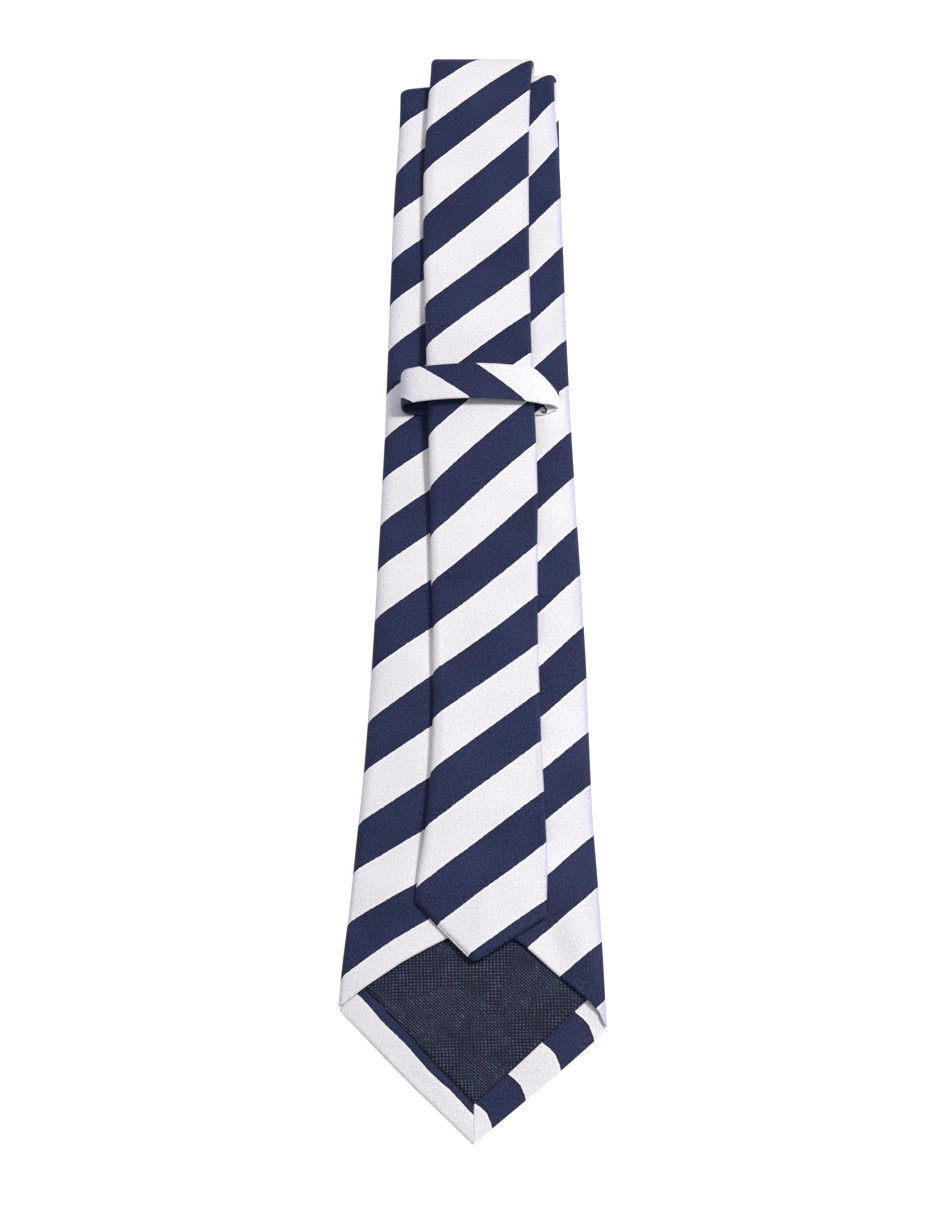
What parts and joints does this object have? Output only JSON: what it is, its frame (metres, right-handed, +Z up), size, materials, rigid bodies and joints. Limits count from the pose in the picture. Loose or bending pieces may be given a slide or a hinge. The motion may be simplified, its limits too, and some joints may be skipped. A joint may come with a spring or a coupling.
{
  "type": "silk necktie",
  "caption": "Striped silk necktie lying folded face down, with the tail tucked through the keeper loop on the wide blade and a lined V opening at the hemmed tip.",
  "frame": {"origin": "centre of the folded tie's footprint, on the surface that it lies on", "axes": "+Z up from the surface, +Y from the blade's tip to the folds, +X across the tie to the right as seen from above with the tip towards the viewer"},
  "size_m": [0.085, 0.4184, 0.0198],
  "materials": {
    "silk": "satin silk with equal diagonal stripes of navy and off-white",
    "lining": "navy lining with a small raised dot weave"
  },
  "bodies": {
    "root": {"blade_panel": "silk", "neck_panel": "silk", "tail_panel": "silk", "keeper_loop": "silk", "blade_tipping": "lining"}
  },
  "joints": []
}
